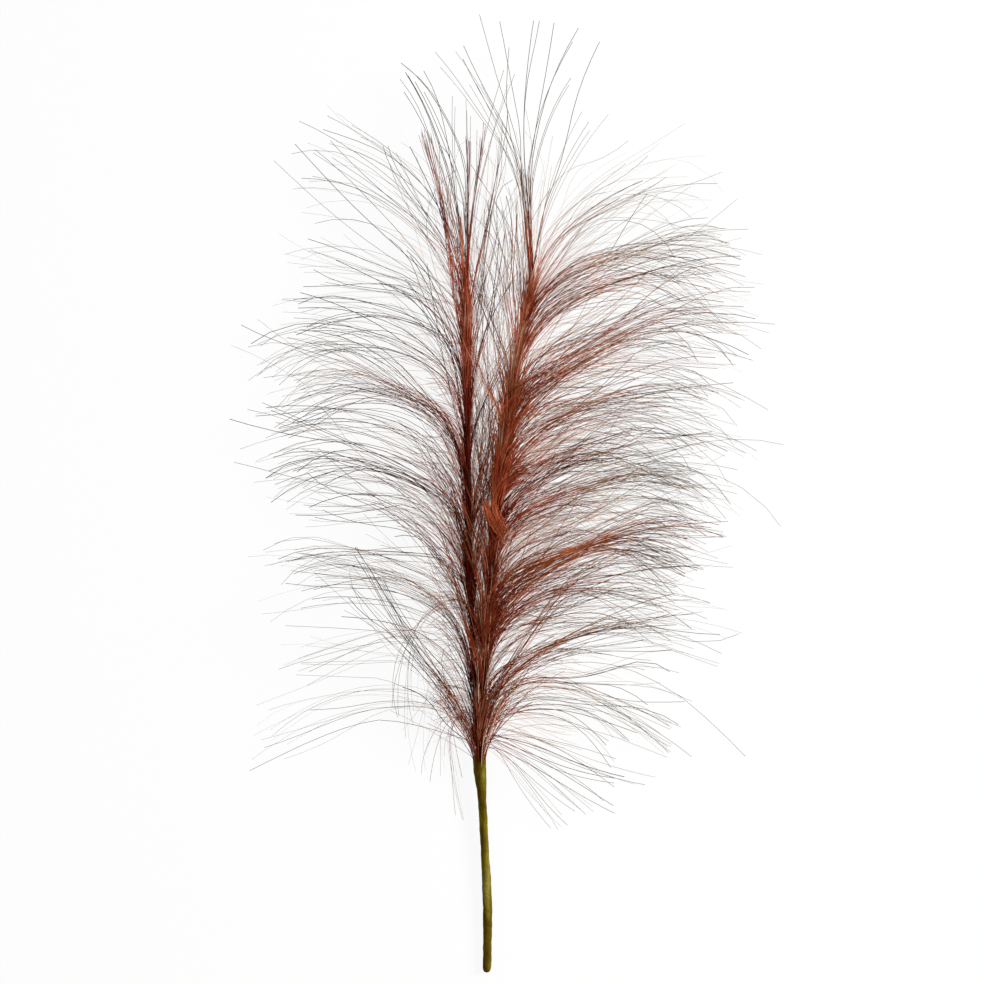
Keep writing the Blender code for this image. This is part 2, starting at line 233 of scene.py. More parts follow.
ROWS = dict(
    left_side=Row(
        which=LEFT, side=-1, count=10, radius=[(0, 0.105), (3, 0.118), (5, 0.150), (7, 0.146), (8.5, 0.130)], tone=[(0, 0.60), (3, 0.56), (4.5, 0.5)], warm=0.54, short=0.22, veil=1.9, veil_reach=0.26, least=0.2,
        n=[(0, 14), (1, 17), (2, 18), (3.5, 19), (4.5, 16), (7, 10), (8, 8), (9, 6), (10, 4)],
        v0=[(0, 147), (1, 170), (10, 446)], launch=[(0, 18), (1, 11), (3, 7), (10, 6)],
        hold=[(0, 0.05), (2, 0.09), (10, 0.09)], turn=[(0, 54), (2, 54), (5, 58), (8, 52), (10, 24)],
        turn_at=[(0, 0.38), (5, 0.36), (10, 0.42)],
        plateau=[(0, 84), (3, 74), (6, 73), (8, 68), (10, 38)], plateau_at=0.66,
        end=[(0, 112), (3, 103), (6, 102), (8, 90), (10, 50)],
        length=[(0, 163), (2, 168), (5, 178), (8, 169), (10, 130)],
        lift0=30, lift1=-2, tip_z=9, stand=1.2, clump=9, own=0.48, strays=0.16, uneven=0.75,
        jitter=dict(launch=3.0, hold=0.07, turn=15, plateau=16, end=19)),
    right_side=Row(
        which=RIGHT, side=1, count=11, radius=0.143, warm=[(0, -0.2), (1.5, 0.35), (3, 0.50), (9, 0.50), (11, 0.3)], short=0.33, veil=1.4, veil_reach=0.6, least=0.3, most=0.97, tone=[(0, 0.42), (4, 0.50), (11, 0.52)],
        n=[(0, 10), (1, 14), (3, 25), (4, 30), (6.4, 33), (7.2, 27), (8.5, 22), (9.5, 14), (11, 5)],
        v0=[(0, 146), (1, 160), (2, 178), (11, 440)],
        launch=[(0, 46), (1, 34), (2, 26), (9, 26), (11, 14)], hold=[(0, 0.02), (2, 0.03), (11, 0.03)],
        turn=[(0, 82), (1, 64), (3, 56), (8, 58), (10, 56), (11, 34)],
        turn_at=[(0, 0.2), (3, 0.25), (9, 0.25), (11, 0.3)],
        plateau=[(0, 112), (1, 92), (3, 74), (8, 76), (10, 76), (11, 50)], plateau_at=0.62,
        end=[(0, 128), (1, 112), (3, 104), (5, 112), (8, 109), (10, 100), (11, 74)],
        length=[(0, 104), (1, 136), (2, 148), (4, 163), (6, 172), (8, 166), (11, 156)],
        lift0=30, lift1=2, tip_z=9, stand=2.2, clump=9, own=0.5, strays=0.20, uneven=0.75, loose=1.15,
        jitter=dict(turn=14, plateau=16, end=18)),
    right_front=Row(
        which=RIGHT, side=1, count=5, radius=0.155, warm=0.85, veil=0.6, tone=[(0, 0.34), (2, 0.42), (3, 0.48), (5, 0.50)],
        n=[(0, 25), (2, 50), (4, 34), (5, 14)],
        v0=[(0, 146), (5, 425)], launch=[(0, 20), (5, 13)], hold=0.04,
        turn=[(0, 36), (2, 42), (5, 32)], turn_at=0.34, plateau=[(0, 56), (5, 54)], plateau_at=0.7,
        end=[(0, 84), (5, 74)], length=[(0, 105), (1, 120), (5, 130)],
        lift0=75, lift1=32, tip_z=None, stand=2.6, jitter=dict(lift0=40, turn=15, plateau=17)),
    left_front=Row(
        which=LEFT, side=-1, count=4, radius=0.160, warm=0.95, veil=0.5, tone=[(0, 0.26), (2.4, 0.38), (3, 0.48), (4, 0.50)],
        n=[(0, 12), (2, 20), (4, 6)],
        v0=[(0, 150), (4, 430)], launch=[(0, 12), (4, 6)], hold=0.12, turn=[(0, 36), (4, 22)],
        turn_at=0.40, plateau=[(0, 50), (4, 34)], plateau_at=0.7, end=[(0, 76), (4, 46)],
        length=[(0, 115), (4, 130)], lift0=40, lift1=22, tip_z=None, stand=1.2,
        jitter=dict(launch=3.0, lift0=20, turn=13, plateau=15)),
    left_inner=Row(
        which=LEFT, side=1, count=3, radius=0.173, warm=[(0, 1.0), (1.5, 1.0), (3, 0.6)], n=[(0, 39), (1.2, 33), (2.2, 33), (3, 24)], clump=9, own=0.5, most=0.8, veil=[(0, 2.4), (1.5, 2.0), (3, 0.3)], tone=[(0, 0.52), (3, 0.54)],
        v0=[(0, 168), (3, 425)], launch=8, hold=0.03, turn=19, turn_at=0.20,
        plateau=[(0, 25), (3, 20)], plateau_at=0.7, end=[(0, 24), (3, 18)],
        length=[(0, 110), (3, 125)], lift0=25, lift1=-40, tip_z=None, stand=1.6,
        jitter=dict(turn=11, plateau=13, end=15, lift1=24)),
    right_inner=Row(
        which=RIGHT, side=-1, count=3, radius=0.173, warm=[(0, 1.0), (1.5, 1.0), (3, 0.6)], n=[(0, 54), (1.2, 42), (2.2, 42), (3, 28)], clump=9, own=0.5, most=0.8, veil=[(0, 2.4), (1.5, 2.0), (3, 0.3)], tone=[(0, 0.52), (3, 0.54)],
        v0=[(0, 168), (3, 436)], launch=9, hold=0.03, turn=[(0, 19), (3, 20)], turn_at=0.22,
        plateau=[(0, 26), (3, 28)], plateau_at=0.7, end=[(0, 32), (3, 32)],
        length=[(0, 110), (3, 116)], lift0=30, lift1=-40, tip_z=None, stand=1.8,
        jitter=dict(turn=11, plateau=13, end=15, lift1=24)),
)


def Lock(which, side, v0, dv, n, launch, hold, turn, turn_at, plateau, plateau_at, end, length,
         lift0=30, lift1=2, tip_z=9.0, stand=2.0, loose=0.5, warm=0.68, radius=0.11,
         gather=0.6, gather_at=0.5, late=0.3, tip=False, tone=0.5, short=0.3, even=False):
    """A lock of n filaments tied within dv of v0, drawn together most at gather_at of their length."""
    return dict(locals())


LOCKS = [
    # right spike, from the top down
    Lock(RIGHT, 1, 428, 10, 14, 14, .05, 32, .30, 60, .70, 102, 162, warm=.0, radius=.110, loose=.9, gather=.0, tone=.60),
    Lock(RIGHT, 1, 420, 7, 32, 28, .05, 50, .22, 80, .60, 108, 162, loose=.8, late=.1, radius=.145, warm=.45, tone=.50),
    Lock(RIGHT, 1, 394, 7, 34, 22, .10, 52, .30, 72, .72, 110, 158, loose=.7, gather=.65, late=.2, radius=.155, warm=.8, tone=.44),
    Lock(RIGHT, 1, 354, 11, 62, 32, .04, 46, .20, 55, .62, 110, 178, loose=.8, gather_at=.45, gather=.5, late=.05, radius=.16, tone=.42, warm=.85),
    Lock(RIGHT, 1, 322, 8, 22, 30, .05, 56, .28, 68, .66, 112, 168, loose=.8, late=.1, radius=.155),
    Lock(RIGHT, 1, 440, 12, 12, 4, .08, 22, .35, 50, .62, 78, 150, loose=1.2, gather=.0, warm=.1, radius=.105, tone=.6),
    Lock(RIGHT, 1, 283, 18, 26, 26, .04, 54, .24, 72, .62, 114, 194, loose=1.0, gather=.3, late=.2, radius=.142, warm=.45),
    Lock(RIGHT, 1, 312, 18, 40, 34, .03, 60, .30, 78, .70, 104, 145, loose=1.0, gather=.1, radius=.155),
    Lock(RIGHT, 1, 274, 7, 26, 24, .04, 66, .26, 70, .65, 106, 157, gather=.6, radius=.155),
    Lock(RIGHT, 1, 219, 20, 84, 10, .06, 58, .26, 69, .62, 108, 172, loose=.8, gather=.82, gather_at=.56, late=.25, radius=.165, warm=1.47, tone=.41),
    Lock(RIGHT, 1, 211, 18, 30, 12, .06, 62, .26, 80, .62, 106, 158, loose=1.0, gather=.6, late=.3, radius=.155, warm=.9, tone=.44),
    Lock(RIGHT, 1, 192, 10, 16, 24, .04, 62, .28, 80, .62, 106, 178, loose=1.0, gather=.3, late=.2, radius=.138, warm=.35),
    Lock(RIGHT, 1, 174, 7, 18, 32, .30, 38, .50, 68, .72, 105, 170, late=.1, radius=.155),
    Lock(RIGHT, 1, 171, 5, 21, 32, .05, 48, .20, 74, .65, 94, 160, gather=.6, late=.1, radius=.155),
    Lock(RIGHT, 1, 161, 5, 16, 28, .08, 90, .40, 108, .58, 118, 151, radius=.155, warm=.5),
    Lock(RIGHT, 1, 149, 3, 7, 26, .08, 88, .38, 95, .65, 112, 151, loose=.7, gather=.3, radius=.14, warm=-.4, tone=.50),
    Lock(RIGHT, 1, 146, 4, 7, 45, .02, 98, .16, 108, .50, 116, 120, loose=.5, gather=.0, warm=-.7, radius=.14, tone=.50, short=.25),
    Lock(RIGHT, 1, 145, 3, 7, 50, .02, 110, .13, 120, .50, 126, 98, loose=.5, gather=.0, warm=-.9, radius=.135, tone=.50, short=.25),
    Lock(RIGHT, 1, 145, 3, 6, 60, .02, 120, .12, 134, .40, 140, 78, loose=.5, gather=.0, warm=-.9, radius=.13, tone=.50, short=.25),
    # left spike, from the top down
    Lock(LEFT, -1, 392, 12, 12, 6, .06, 46, .30, 76, .56, 92, 150, loose=1.0, gather=.1, warm=.2, radius=.115),
    Lock(LEFT, -1, 436, 12, 9, 5, .08, 36, .35, 64, .60, 80, 160, loose=1.0, gather=.1, warm=.2, radius=.13),
    Lock(LEFT, -1, 366, 9, 13, 8, .10, 33, .36, 74, .64, 82, 164, loose=.8, warm=.5, late=.1, radius=.145),
    Lock(LEFT, -1, 334, 9, 14, 4, .15, 52, .42, 72, .66, 108, 170, loose=.8, gather=.2, warm=.4, radius=.145),
    Lock(LEFT, -1, 303, 17, 50, 2, .15, 61, .38, 79, .78, 122, 178, warm=.9, gather=.66, late=.05, loose=.75, radius=.136, tone=.54),
    Lock(LEFT, -1, 248, 10, 30, 3, .16, 57, .38, 78, .66, 118, 184, loose=.75, warm=.6, gather=.6, late=.1, radius=.145),
    Lock(LEFT, -1, 240, 14, 18, 4, .08, 32, .40, 44, .70, 56, 100, loose=.9, warm=1.0, radius=.155),
    Lock(LEFT, -1, 145, 5, 15, 31, .30, 32, .50, 34, .80, 34, 146, lift1=20, tip_z=None, warm=.6, gather=.5, gather_at=.6, late=.2, loose=.7, radius=.155, tone=.34, short=.15),
    Lock(LEFT, -1, 150, 8, 9, 26, .20, 36, .50, 37, .80, 35, 146, lift1=20, tip_z=None, warm=.3, gather=.0, loose=.9, radius=.15, tone=.36, short=.2),
    Lock(LEFT, -1, 190, 12, 12, 8, .08, 54, .35, 88, .60, 108, 158, loose=.9, warm=.1, radius=.12, gather=.2),
    Lock(LEFT, -1, 150, 6, 13, 30, .02, 74, .33, 104, .68, 112, 158, loose=.7, warm=.1, radius=.115, gather=.25, tone=.62),
    # the collar, where the lowest filaments fan out of the tape
    Lock(LEFT, -1, 138, 2, 14, 14, .05, 24, .30, 34, .70, 50, 62, lift0=60, lift1=40, tip_z=None, loose=1.0, gather=.0, warm=1.2, stand=3.5, radius=.15, tone=.86),
    Lock(RIGHT, 1, 138, 2, 14, 14, .05, 26, .30, 40, .70, 60, 66, lift0=60, lift1=40, tip_z=None, loose=1.0, gather=.0, warm=1.2, stand=3.5, radius=.15, tone=.86),
    Lock(LEFT, -1, 138, 2, 28, 12, .05, 22, .30, 30, .70, 46, 62, lift0=40, lift1=30, tip_z=None, loose=1.0, gather=.0, warm=1.0, stand=3.3, radius=.17, tone=.42),
    Lock(RIGHT, 1, 138, 2, 22, 14, .05, 26, .30, 40, .70, 60, 66, lift0=40, lift1=30, tip_z=None, loose=1.0, gather=.0, warm=1.0, stand=3.3, radius=.17, tone=.45),
    # the left spike's tip: three blunt locks
    Lock(LEFT, -1, 388, 9, 19, 7, .25, 6, .48, 17, .74, 14, 146, lift0=20, lift1=30, tip_z=None, loose=.6, gather=.85, gather_at=.80, late=.85, stand=1.2, radius=.150, warm=1.4, tone=.47, short=.10, even=True),
    Lock(LEFT, -1, 425, 12, 12, 8, .10, 12, .35, 15, .65, 12, 96, lift0=40, lift1=40, tip_z=None, loose=.9, gather=.3, gather_at=.4, late=.3, stand=1.0, radius=.140, warm=1.0, tone=.46, tip=True, short=.3),
    Lock(LEFT, -1, 417, 8, 15, 2, .10, 4, .35, 7, .70, 9, 64, lift0=50, lift1=50, tip_z=None, loose=.3, gather=.6, gather_at=.6, late=.8, stand=1.2, radius=.165, warm=1.4, tone=.60, tip=True, short=.25, even=True),
    Lock(LEFT, 1, 440, 10, 12, 0, .02, 1, .30, 2, .60, -1, 92, lift0=50, lift1=50, tip_z=None, loose=.3, gather=.8, gather_at=.6, late=.65, stand=0.8, radius=.145, warm=1.3, tone=.44, tip=True, short=.10, even=True),
    Lock(LEFT, 1, 440, 10, 11, 3, .10, 7, .40, 14, .70, 8, 94, lift0=30, lift1=30, tip_z=None, loose=.3, gather=.8, gather_at=.6, late=.65, stand=0.8, radius=.145, warm=1.3, tone=.48, tip=True, short=.10, even=True),
    # loose ends that hang on the left, below the arches and beside the tie
    Lock(LEFT, -1, 236, 10, 9, 35, .02, 92, .20, 150, .42, 183, 118, lift1=8, loose=.7, gather=.0, warm=.1, radius=.10, tone=.62, short=.4),
    Lock(LEFT, -1, 202, 10, 8, 42, .02, 124, .16, 178, .36, 186, 104, lift1=8, loose=.5, gather=.0, warm=.1, radius=.095, tone=.64, short=.4),
    Lock(LEFT, -1, 168, 8, 5, 60, .02, 150, .18, 182, .40, 190, 88, lift1=8, loose=.35, gather=.0, warm=.0, radius=.095, tone=.66, short=.4),
    Lock(LEFT, -1, 170, 8, 4, 60, .02, 124, .24, 158, .50, 172, 68, lift1=8, loose=.6, gather=.0, warm=.0, radius=.09, tone=.68, short=.4),
    # fine ends that cross between the two spikes, high up
    Lock(LEFT, 1, 402, 24, 15, 4, .05, 13, .30, 19, .65, 13, 116, lift0=30, lift1=-10, tip_z=None, loose=2.2, gather=.0, stand=1.2, radius=.130, warm=.6, tone=.60, short=.45),
    Lock(RIGHT, -1, 408, 24, 16, 4, .05, 16, .30, 24, .65, 21, 120, lift0=30, lift1=-10, tip_z=None, loose=2.0, gather=.0, stand=1.4, radius=.130, warm=.65, tone=.60, short=.45),
    Lock(LEFT, -1, 412, 22, 12, 3, .05, 10, .30, 15, .65, 12, 122, lift0=30, lift1=0, tip_z=None, loose=2.0, gather=.0, stand=1.2, radius=.130, warm=.6, tone=.58, short=.4),
]


def lock_paths(lock, rng):
    n = lock["n"]
    q = rng.uniform(-1, 1, n)
    table = {k: lock[k] for k in KEYS}
    table["v0"] = [(-1, lock["v0"] - lock["dv"]), (1, lock["v0"] + lock["dv"])]
    p, _ = sample(table, q, rng, scale=lock["loose"], clump=7, own=0.8, strays=0.05, short=lock["short"])
    P = walk(lock["which"], lock["side"], p, rng)
    middle = {k: np.array([np.nan if lock[k] is None else float(lock[k])]) for k in KEYS}
    C = walk(lock["which"], lock["side"], middle, rng, wave=0.0)
    t = np.linspace(0, 1, SEGMENTS + 1)
    most, when = lock["gather"], lock["gather_at"]
    g = np.where(t < when, most * smooth(t / when),
                 most + most * (lock["late"] - 1) * smooth((t - when) / (1 - when)))
    P = P + (C - P) * g[None, :, None] * rng.uniform(0.7, 1.1, n)[:, None, None]
    P[..., 2] = np.maximum(P[..., 2], FLOOR)
    return P


def index_of(row, v):
    knots = ROWS[row]["v0"]
    q = np.interp(v, [k[1] for k in knots], [k[0] for k in knots])
    return np.clip(np.floor(q).astype(int), 0, ROWS[row]["count"] - 1)


def Brush(which, low, high, n, fan, length, radius=0.20, tone=0.5, lean=0.0, stand=(1.2, 3.0), open=0.0,
          wide=80, down=False, aside=0.0, even=False):
    """Short filament ends on the front of a spike between v = low and high, at lean + or - fan
    degrees from it (positive to the right), pointing up it or down it."""
    return dict(locals())


BRUSHES = [
    # the right spike's head: two flat strips of cut ends
    Brush(RIGHT, 410, 428, 46, 4, 23, radius=0.24, tone=0.73, lean=9, stand=(1.2, 3.0), even=True),
    Brush(RIGHT, 408, 424, 34, 3, 25, radius=0.24, tone=0.75, lean=-5, stand=(1.2, 3.0), even=True),
    Brush(RIGHT, 368, 412, 100, 5, 28, radius=0.24, tone=0.75, stand=(1.6, 3.2), wide=60, even=True),
    # its thick middle, with a fan each side
    Brush(RIGHT, 330, 372, 90, 20, 32, radius=0.24, tone=0.65, open=0.4, stand=(1.6, 3.8)),
    Brush(RIGHT, 336, 372, 60, 7, 28, radius=0.26, tone=0.64, stand=(2.4, 4.0), wide=60, even=True),
    Brush(RIGHT, 300, 352, 90, 13, 30, radius=0.25, tone=0.63, stand=(2.0, 4.4)),
    Brush(RIGHT, 292, 344, 100, 9, 28, radius=0.26, tone=0.63, stand=(3.0, 5.0), wide=70, even=True),
    Brush(RIGHT, 302, 318, 70, 10, 25, radius=0.22, tone=0.50, lean=42, open=0.2),
    # the tongue: two bright lobes in front
    Brush(RIGHT, 297, 303, 40, 3, 26, radius=0.24, tone=0.66, lean=34, stand=(6.8, 8.2), wide=14, down=True, aside=-7.6, even=True),
    Brush(RIGHT, 297, 301, 26, 3, 17, radius=0.24, tone=0.69, lean=34, stand=(7.4, 8.8), wide=12, down=True, aside=-1.8, even=True),
    Brush(RIGHT, 234, 284, 100, 6, 26, radius=0.25, tone=0.34, stand=(1.8, 4.0), wide=60, even=True),
    # the rust cluster and the dark below it
    Brush(RIGHT, 208, 226, 80, 18, 26, radius=0.24, tone=0.62, lean=4, open=0.4, stand=(2.2, 4.4)),
    Brush(RIGHT, 172, 212, 40, 6, 24, radius=0.22, tone=0.26, stand=(1.6, 3.0), wide=50, even=True),
    # these pale cream ends are painted highlights over the lower spike
    Brush(RIGHT, 146, 262, 58, 9, 30, radius=0.17, tone=0.90, stand=(3.0, 4.8), wide=70),
    Brush(RIGHT, 150, 166, 60, 12, 24, radius=0.23, tone=0.64, lean=4, stand=(3.8, 5.4), even=True),
    Brush(RIGHT, 136, 158, 36, 12, 24, radius=0.20, tone=0.42, lean=4),
    # fine ends on the sides that face each other
    Brush(RIGHT, 185, 285, 60, 4, 36, radius=0.15, tone=0.70, lean=-9, stand=(0.8, 2.4), wide=40),
    Brush(LEFT, 170, 290, 70, 4, 36, radius=0.15, tone=0.70, lean=9, stand=(0.8, 2.4), wide=40),
    # the left spike, dark below and red above
    Brush(LEFT, 136, 190, 60, 12, 26, radius=0.20, tone=0.34, lean=-4),
    Brush(LEFT, 150, 370, 210, 1.4, 26, radius=0.20, tone=0.34, stand=(2.2, 3.6), wide=10, even=True),
    Brush(LEFT, 142, 300, 110, 1.2, 24, radius=0.20, tone=0.26, stand=(4.6, 5.8), wide=8, even=True),
    Brush(LEFT, 150, 236, 60, 1.4, 24, radius=0.20, tone=0.20, stand=(6.0, 7.4), wide=9, even=True),
    Brush(LEFT, 364, 425, 150, 2.2, 28, radius=0.25, tone=0.66, stand=(2.8, 4.2), wide=50, even=True),
    Brush(LEFT, 415, 436, 30, 2, 24, radius=0.22, tone=0.60, stand=(1.0, 2.2), wide=50, even=True),
]


def brush_paths(b, rng):
    n = b["n"]
    v0 = rng.uniform(b["low"], b["high"], n)
    across = rng.uniform(-1, 1, n)
    tilt = b["lean"] + b["fan"] * across + rng.normal(0, 0.25 * b["fan"] + 1.0, n)
    length = b["length"] * rng.uniform(0.6, 1.15, n)
    T = tangent(b["which"], v0)
    S = np.cross(T, np.array([0.0, 0.0, 1.0]))
    S /= np.linalg.norm(S, axis=1, keepdims=True)
    U = np.cross(S, T)
    if b["down"]:
        T = -T
    stand = rng.uniform(b["stand"][0], b["stand"][1], n)
    # close-packed on a front "wide" degrees to each side, or in a lobe "aside" of it
    round_ = np.radians(90 - b["wide"] * across + rng.normal(0, 0.17 * b["wide"], n))
    start = spike(b["which"], v0) + (S * np.cos(round_)[:, None] + U * np.sin(round_)[:, None]) * stand[:, None]
    start += S * b["aside"]
    s = (np.arange(STEPS) + 0.5)[None, :] / STEPS
    angle = np.radians(tilt[:, None] * (0.55 + b["open"] * s + 0.9 * s) + 5 * np.sin(3 * s + 6 * across[:, None]))
    rise_ = np.radians(rng.uniform(0, 9, n))[:, None] * (1 - 1.2 * s)
    d = (T[:, None] * np.cos(angle)[..., None] + S[:, None] * np.sin(angle)[..., None]
         + U[:, None] * np.sin(rise_)[..., None])
    P = np.concatenate([start[:, None], start[:, None] + np.cumsum(d * (length / STEPS)[:, None, None], 1)], 1)
    keep = (np.linspace(0, 1, SEGMENTS + 1) * STEPS).round().astype(int)
    return P[:, keep]


def Tip(which, v0, length, *turns, n=1, radius=0.235, tone=0.40, warm=0.0, loose=0.8):
    """n filaments past the end of a spike.  turns are (part of the length, degrees to the right of
    straight up) pairs."""
    return dict(locals())


TIPS = [
    # the left spike's: they bend away to the left
    Tip(LEFT, 440, 153, (0, 0), (.4, 0), (.5, -14), (.65, -27), (.8, -32), (1, -55), n=2, tone=.28, loose=2),
    Tip(LEFT, 440, 143, (0, -2), (.15, -6), (.3, -12), (.5, -16), (.75, -22), (1, -33), n=3, tone=.30, loose=3),
    Tip(LEFT, 440, 139, (0, 0), (.35, -1), (.5, -16), (.8, -19), (1, -27), n=2, tone=.34, loose=4),
    Tip(LEFT, 436, 143, (0, -4), (.3, -13), (.6, -15), (.8, -20), (1, -38), n=2, tone=.34, loose=4),
    Tip(LEFT, 436, 122, (0, -3), (.4, -6), (.7, -2), (1, 2), n=2, tone=.36, radius=.155),
    Tip(LEFT, 440, 113, (0, 0), (.5, 1), (1, -1), n=3, tone=.36, radius=.14),
    Tip(LEFT, 438, 108, (0, -20), (.2, -30), (.5, -36), (.8, -32), (1, -14), n=2, tone=.40),
    Tip(LEFT, 438, 142, (0, -5), (.2, -20), (.4, -42), (.6, -50), (.8, -62), (1, -76), n=3, tone=.45, radius=.155, loose=3),
    Tip(LEFT, 430, 150, (0, 4), (.3, 8), (.6, 14), (1, 22), n=3, tone=.40, radius=.155, loose=3),
    # the right spike's: a sheaf to half way up, then apart
    Tip(RIGHT, 436, 80, (0, 2), (.4, -5), (1, -3), n=11, tone=.48, warm=0.9, radius=.17, loose=1.8),
    Tip(RIGHT, 440, 172, (0, -4), (.30, -5), (.40, -3), (.52, -18), (.66, -29), (.85, -27), (1, -24), n=2, tone=.30),
    Tip(RIGHT, 440, 170, (0, -3), (.35, -4), (.48, -12), (.66, -19), (.8, -15), (1, -15), tone=.30),
    Tip(RIGHT, 440, 168, (0, -6), (.35, -5), (.5, 0), (.65, -12), (.8, -10), (1, -12), tone=.30),
    Tip(RIGHT, 440, 156, (0, -6), (.35, -4), (.55, -16), (.7, -6), (.85, 3), (1, 5), tone=.36),
    Tip(RIGHT, 440, 164, (0, -5), (.35, -5), (.55, 0), (.75, 5), (1, 9), tone=.22),
    Tip(RIGHT, 440, 165, (0, -5), (.42, -4), (.6, 1), (.75, 8), (.85, 13), (1, 10), tone=.26),
    Tip(RIGHT, 440, 164, (0, -2), (.3, -3), (.45, 8), (.7, 10), (1, 8), tone=.30),
    Tip(RIGHT, 440, 174, (0, -2), (.3, -3), (.45, 8), (.6, 12), (.75, 20), (1, 31), n=2, tone=.40),
    Tip(RIGHT, 440, 141, (0, -2), (.3, 0), (.5, 10), (.75, 20), (1, 34), n=2, tone=.42),
    Tip(RIGHT, 440, 162, (0, 6), (.2, 10), (.35, 21), (.5, 14), (.65, 11), (.8, 18), (1, 26), tone=.36),
    Tip(RIGHT, 440, 172, (0, -4), (.3, -5), (.45, -20), (.6, -36), (.8, -35), (1, -42), n=3, tone=.50, radius=.155, loose=2),
    Tip(RIGHT, 440, 150, (0, -3), (.3, -4), (.5, -14), (.8, -22), (1, -26), n=3, tone=.45, radius=.155, loose=4),
    Tip(RIGHT, 436, 120, (0, 8), (.3, 16), (.6, 26), (1, 38), n=4, tone=.45, radius=.155, loose=9),
]


def tip_paths(tip, rng):
    n = tip["n"]
    start = spike(tip["which"], tip["v0"] + rng.normal(0, 2, n))
    start[:, 0] += rng.normal(0, 0.8, n)
    start[:, 2] += rng.normal(0.6, 0.8, n)
    s = (np.arange(STEPS) + 0.5) / STEPS
    angle = np.interp(s, [k[0] for k in tip["turns"]], [k[1] for k in tip["turns"]])[None]
    angle = np.radians(angle + rng.normal(0, tip["loose"], (n, 1)) * smooth(s / 0.5)[None])
    climb = np.radians(rng.normal(0, 4, (n, 1))) * np.ones_like(angle)
    d = np.stack([np.sin(angle), np.cos(angle), np.sin(climb)], -1)
    step = tip["length"] * rng.uniform(0.98 if n == 1 else 0.88, 1.0, n) / STEPS
    P = np.concatenate([start[:, None], start[:, None] + np.cumsum(d * step[:, None, None], 1)], 1)
    keep = (np.linspace(0, 1, SEGMENTS + 1) * STEPS).round().astype(int)
    return P[:, keep]


def grow():
    """{tuft name: list of (paths, radii at the root, warmth, shade)}"""
    out = {}

    def put(name, P, radius, warm, tone=0.5, vary=0.44, mixed=0.50):
        if len(P):
            n = len(P)
            # one that would reach past the rest is shorter
            root, end = P[:, :1], P - P[:, :1]
            far = np.stack([(-162.0 - root[:, 0, 0]) / np.minimum(end[..., 0].min(1), -1e-3),
                            (190.0 - root[:, 0, 0]) / np.maximum(end[..., 0].max(1), 1e-3),
                            (106.0 - root[:, 0, 2]) / np.maximum(end[..., 2].max(1), 1e-3)]).min(0)
            P = root + end * np.minimum(far, 1.0)[:, None, None]
            z = np.clip(rng.normal(0, 1, n), -2.0, 1.5)
            size = radius * np.exp(vary * z - 0.12)
            # the finest filaments let more light through
            shade = tone - 0.26 * mixed * z + mixed * (rng.beta(1.3, 1.3, n) - 0.5)
            out.setdefault(name, []).append((P, size, np.full(n, float(warm)), np.clip(shade, 0, 1)))

    # each row, lock and brush has its own chance, so that one can change without the rest
    for number, (name, row) in enumerate(ROWS.items()):
        for k in range(row["count"]):
            rng = np.random.default_rng((1207, number, k))
            n = int(round(1.15 * float(at(k + 0.5, row["n"]))))
            clump = row.get("clump", 7.0)
            # they are tied in clumps at uneven places
            places = k + rng.uniform(0, 1, max(2, int(round(n / clump))))
            q = np.where(rng.uniform(0, 1, n) < row.get("uneven", 0.5),
                         rng.choice(places, n) + rng.normal(0, 0.05, n), k + rng.uniform(0, 1, n))
            p, group = sample(row, q, rng, scale=row.get("loose", 1.0), clump=clump, own=row.get("own", 0.62),
                              jitter=row.get("jitter"), strays=row.get("strays", 0.11), short=row.get("short", 0.45))
            P = bunch(walk(row["which"], row["side"], p, rng), group, rng, row.get("most", 0.85), row.get("least", 0.0))
            P[..., 2] = np.maximum(P[..., 2], FLOOR)
            tuft = "%s_tuft_%02d" % (name, k + 1)
            put(tuft, P, *(float(at(k + 0.5, row[key])) for key in ("radius", "warm", "tone")))
            # the finest, palest filaments fill the gaps between the rest; their pale cream is painted light, standing
            # for light that passes through the dyed filaments
            n = int(round(n * float(at(k + 0.5, row.get("veil", 0.0)))))
            if n:
                p, _ = sample(row, k + rng.uniform(0, 1, n), rng, jitter=row.get("jitter"), short=0.75)
                p["length"] *= row.get("veil_reach", 1.0)
                # they start on the underside of the spike
                p["lift0"] = rng.normal(-75, 15, n)
                P = walk(row["which"], row["side"], p, rng)
                P[..., 2] = np.maximum(P[..., 2], FLOOR)
                put(tuft, P, 0.12, 1.3, 0.93, vary=0.2, mixed=0.3)
    for lock in LOCKS:
        rng = np.random.default_rng((int(lock["v0"]), lock["n"]))
        P = lock_paths(lock, rng)
        vary, mixed = (0.15, 0.18) if lock["even"] else (0.44, 0.50)
        if lock["tip"]:
            put(lock["which"] + "_tip_tuft", P, lock["radius"], lock["warm"], lock["tone"], vary, mixed)
        else:
            row = lock["which"] + "_side"
            index = index_of(row, P[:, 0, 1])
            for k in np.unique(index):
                put("%s_tuft_%02d" % (row, k + 1), P[index == k], lock["radius"], lock["warm"], lock["tone"], vary, mixed)
    for number, tip in enumerate(TIPS):
        rng = np.random.default_rng((31, number))
        put(tip["which"] + "_tip_tuft", tip_paths(tip, rng), tip["radius"], tip["warm"], tip["tone"], vary=0.12, mixed=0.25)
    for brush in BRUSHES:
        rng = np.random.default_rng((int(brush["low"]), brush["n"]))
        P = brush_paths(brush, rng)
        row = brush["which"] + "_front"
        index = index_of(row, P[:, 0, 1])
        for k in np.unique(index):
            vary, mixed = (0.12, 0.14) if brush["even"] else (0.35, 0.26)
            put("%s_tuft_%02d" % (row, k + 1), P[index == k], brush["radius"], 1.4, brush["tone"], vary, mixed)
    return out
